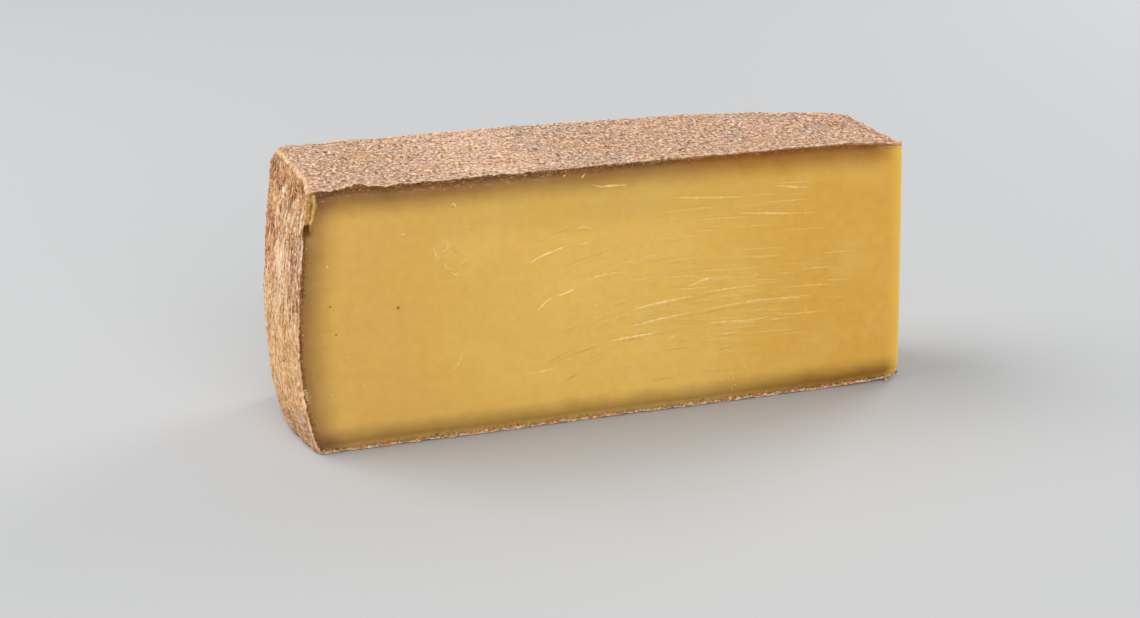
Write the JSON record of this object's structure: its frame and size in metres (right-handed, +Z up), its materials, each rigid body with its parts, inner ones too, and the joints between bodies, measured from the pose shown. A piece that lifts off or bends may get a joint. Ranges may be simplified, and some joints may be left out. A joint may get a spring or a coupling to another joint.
{
  "type": "hard cheese slab with rind",
  "caption": "Long upright slab of hard, aged mountain cheese cut from the rim of a wheel, with brown grainy rind on its top, heel and foot and smooth golden cut faces.",
  "frame": {"origin": "middle of the slab's footprint, on the surface that it stands on", "axes": "+X along the slab from the rind heel to the cut end, +Y from the front cut to the back cut, +Z up through the wheel's thickness"},
  "size_m": [0.2194, 0.0572, 0.0917],
  "materials": {
    "paste": "golden cheese paste, smooth and slightly waxy, browner towards the rind",
    "rind": "dry, grainy brown rind with pale and dark specks"
  },
  "bodies": {
    "root": {"cheese_slab": "paste"}
  },
  "joints": []
}
